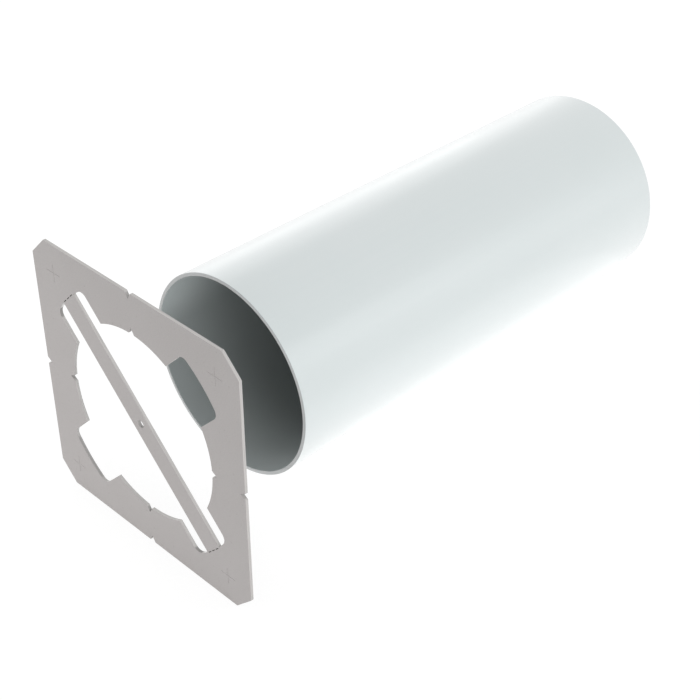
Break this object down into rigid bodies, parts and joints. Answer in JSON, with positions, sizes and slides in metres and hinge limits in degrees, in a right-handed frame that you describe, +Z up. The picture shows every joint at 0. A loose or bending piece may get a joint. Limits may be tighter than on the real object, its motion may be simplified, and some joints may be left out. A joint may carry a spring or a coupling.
{
  "type": "wall vent sleeve",
  "caption": "Round plastic wall sleeve for a room vent, open at both ends, with the square die-cut board that marks out its hole standing in front of the mouth.",
  "frame": {"origin": "centre of the sleeve's mouth on the room side, on the sleeve's axis", "axes": "+Y along the sleeve from the room to the outdoors, +Z up, +X to the right as seen from the room"},
  "size_m": [0.27, 0.6, 0.27],
  "materials": {
    "sleeve_plastic": "smooth satin-gloss white, faint cool tint",
    "template_board": "uncoated grey board, lighter cut edges"
  },
  "bodies": {
    "root": {"wall_sleeve": "sleeve_plastic", "drilling_template": "template_board"}
  },
  "joints": []
}
